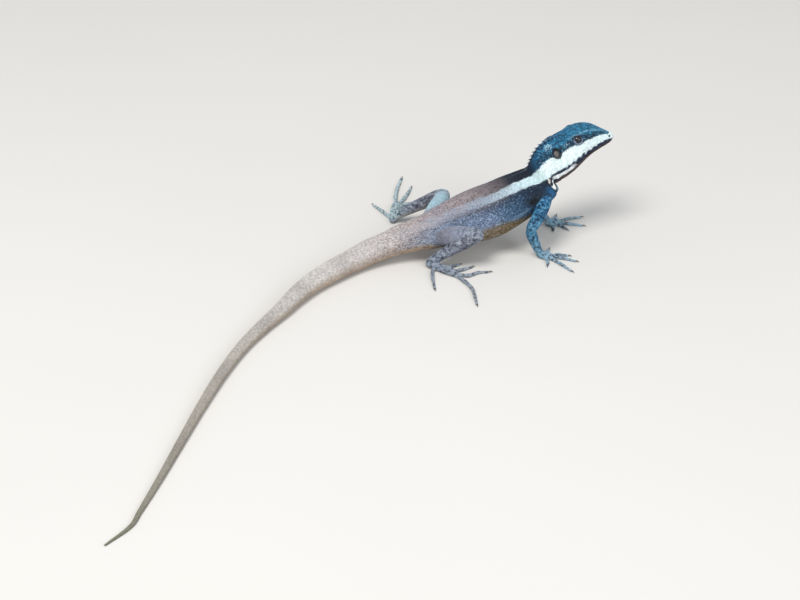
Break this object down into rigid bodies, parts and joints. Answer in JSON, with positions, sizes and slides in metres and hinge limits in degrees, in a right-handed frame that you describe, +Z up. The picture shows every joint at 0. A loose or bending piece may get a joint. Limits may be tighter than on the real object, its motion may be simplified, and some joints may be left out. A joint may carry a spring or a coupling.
{
  "type": "northern water dragon",
  "caption": "Long-tailed lizard standing with its forebody and head raised, low nape crest, slender clawed toes and a whip tail laid along the floor.",
  "frame": {"origin": "middle of the underside of the animal's bounding box, on the floor", "axes": "+X towards the snout along the trunk, +Y to the animal's left, +Z up"},
  "size_m": [0.3096, 0.273, 0.0647],
  "materials": {
    "head_skin": "satin scaly skin",
    "jaw_skin": "satin scaly skin",
    "eye": "glossy",
    "neck_skin": "satin scaly skin",
    "trunk_skin": "satin scaly skin",
    "tail_skin": "satin scaly skin",
    "arm_skin": "satin scaly skin",
    "leg_skin": "satin scaly skin"
  },
  "bodies": {
    "root": {"head": "head_skin", "lower_jaw": "jaw_skin", "eye_right": "eye", "eye_left": "eye", "neck": "neck_skin", "torso": "trunk_skin", "tail_1": "tail_skin", "tail_2": "tail_skin", "tail_3": "tail_skin", "tail_4": "tail_skin", "tail_5": "tail_skin", "tail_6": "tail_skin", "upper_arm_right": "arm_skin", "forearm_right": "arm_skin", "hand_right": "arm_skin", "upper_arm_left": "arm_skin", "forearm_left": "arm_skin", "hand_left": "arm_skin", "thigh_right": "leg_skin", "shank_right": "leg_skin", "foot_right": "leg_skin", "thigh_left": "leg_skin", "shank_left": "leg_skin", "foot_left": "leg_skin"}
  },
  "joints": []
}
